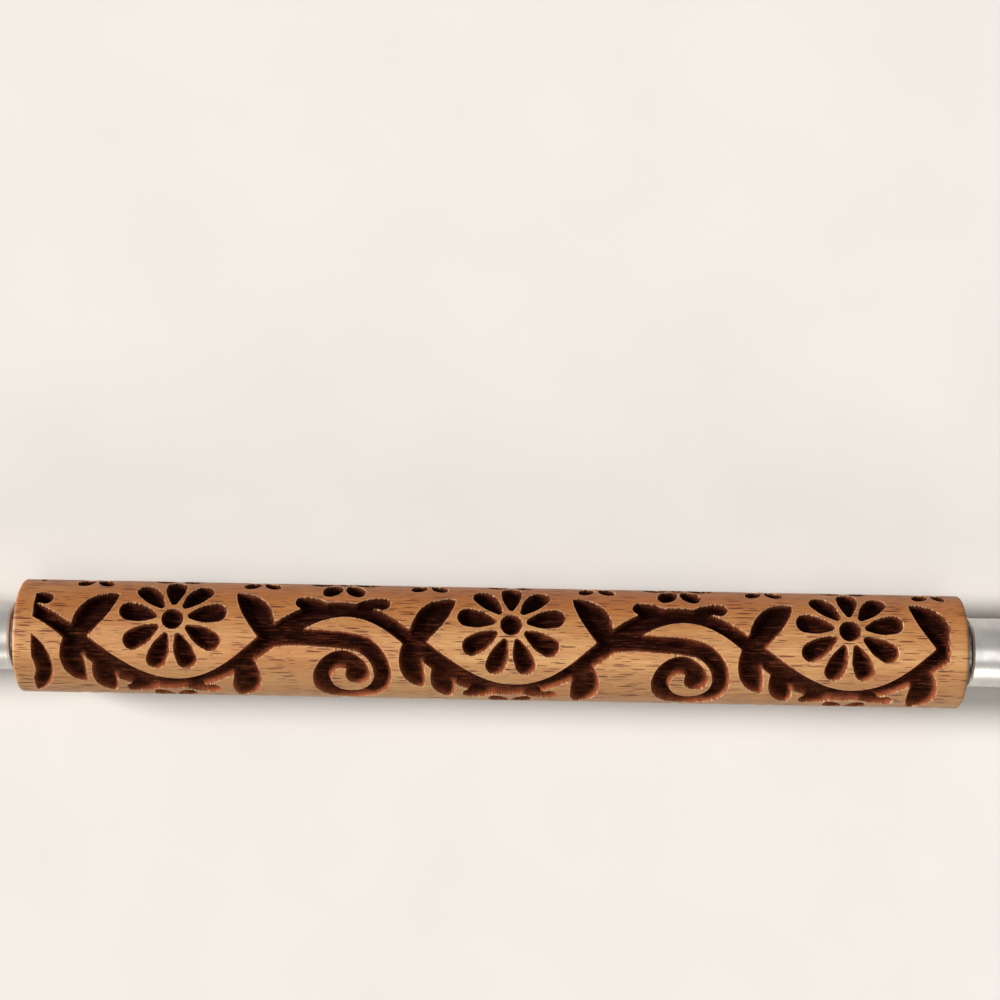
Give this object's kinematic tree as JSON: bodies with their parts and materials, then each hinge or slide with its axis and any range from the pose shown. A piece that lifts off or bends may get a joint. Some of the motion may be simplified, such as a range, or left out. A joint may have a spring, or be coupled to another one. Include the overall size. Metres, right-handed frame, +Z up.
{
  "type": "textured pattern roller",
  "caption": "Two-handled engraved wooden roller: a beech barrel with a floral relief turns on ball bearings about a steel axle to print a repeating pattern.",
  "frame": {"origin": "middle of the roller's axis, half way between the barrel's end faces", "axes": "+X along the axle towards the right handle, +Z up, the barrel's lowest line touches the table at z = -barrel radius"},
  "size_m": [0.441, 0.03, 0.03],
  "materials": {
    "barrel_beech": "sanded beech, oiled, with a laser-burnt dark brown engraved pattern",
    "handle_beech": "turned and sanded beech, light oil",
    "axle_steel": "drawn bright steel rod",
    "bearing_steel": "ground bearing steel",
    "bearing_balls": "polished bearing steel",
    "cage_polymer": "natural moulded nylon",
    "shield_steel": "pressed sheet steel",
    "trim_steel": "turned and brushed stainless steel",
    "fastener_steel": "bright zinc-plated steel"
  },
  "bodies": {
    "handle_frame": {"axle": "axle_steel", "left_bearing_inner_ring": "bearing_steel", "left_spacer": "trim_steel", "left_ferrule": "trim_steel", "left_handle": "handle_beech", "left_washer": "fastener_steel", "left_lock_nut": "fastener_steel", "left_end_button": "handle_beech", "right_bearing_inner_ring": "bearing_steel", "right_spacer": "trim_steel", "right_ferrule": "trim_steel", "right_handle": "handle_beech", "right_washer": "fastener_steel", "right_lock_nut": "fastener_steel", "right_end_button": "handle_beech"},
    "barrel": {"barrel": "barrel_beech", "left_bearing_outer_ring": "bearing_steel", "left_bearing_shields": "shield_steel", "left_dust_cap": "trim_steel", "right_bearing_outer_ring": "bearing_steel", "right_bearing_shields": "shield_steel", "right_dust_cap": "trim_steel"},
    "left_cage": {"left_bearing_cage": "cage_polymer", "left_bearing_balls": "bearing_balls"},
    "right_cage": {"right_bearing_cage": "cage_polymer", "right_bearing_balls": "bearing_balls"}
  },
  "joints": [
    {"name": "barrel_spin", "type": "hinge", "parent": "handle_frame", "child": "barrel", "pos_m": [0, 0, 0], "axis": [1, 0, 0], "continuous": true},
    {"name": "left_cage_spin", "type": "hinge", "parent": "handle_frame", "child": "left_cage", "pos_m": [-0.1211, 0, 0], "axis": [1, 0, 0], "continuous": true},
    {"name": "right_cage_spin", "type": "hinge", "parent": "handle_frame", "child": "right_cage", "pos_m": [0.1211, 0, 0], "axis": [1, 0, 0], "continuous": true}
  ],
  "couplings": [
    {"joint": "left_cage_spin", "follows": "barrel_spin", "ratio": 0.61429},
    {"joint": "right_cage_spin", "follows": "barrel_spin", "ratio": 0.61429}
  ]
}
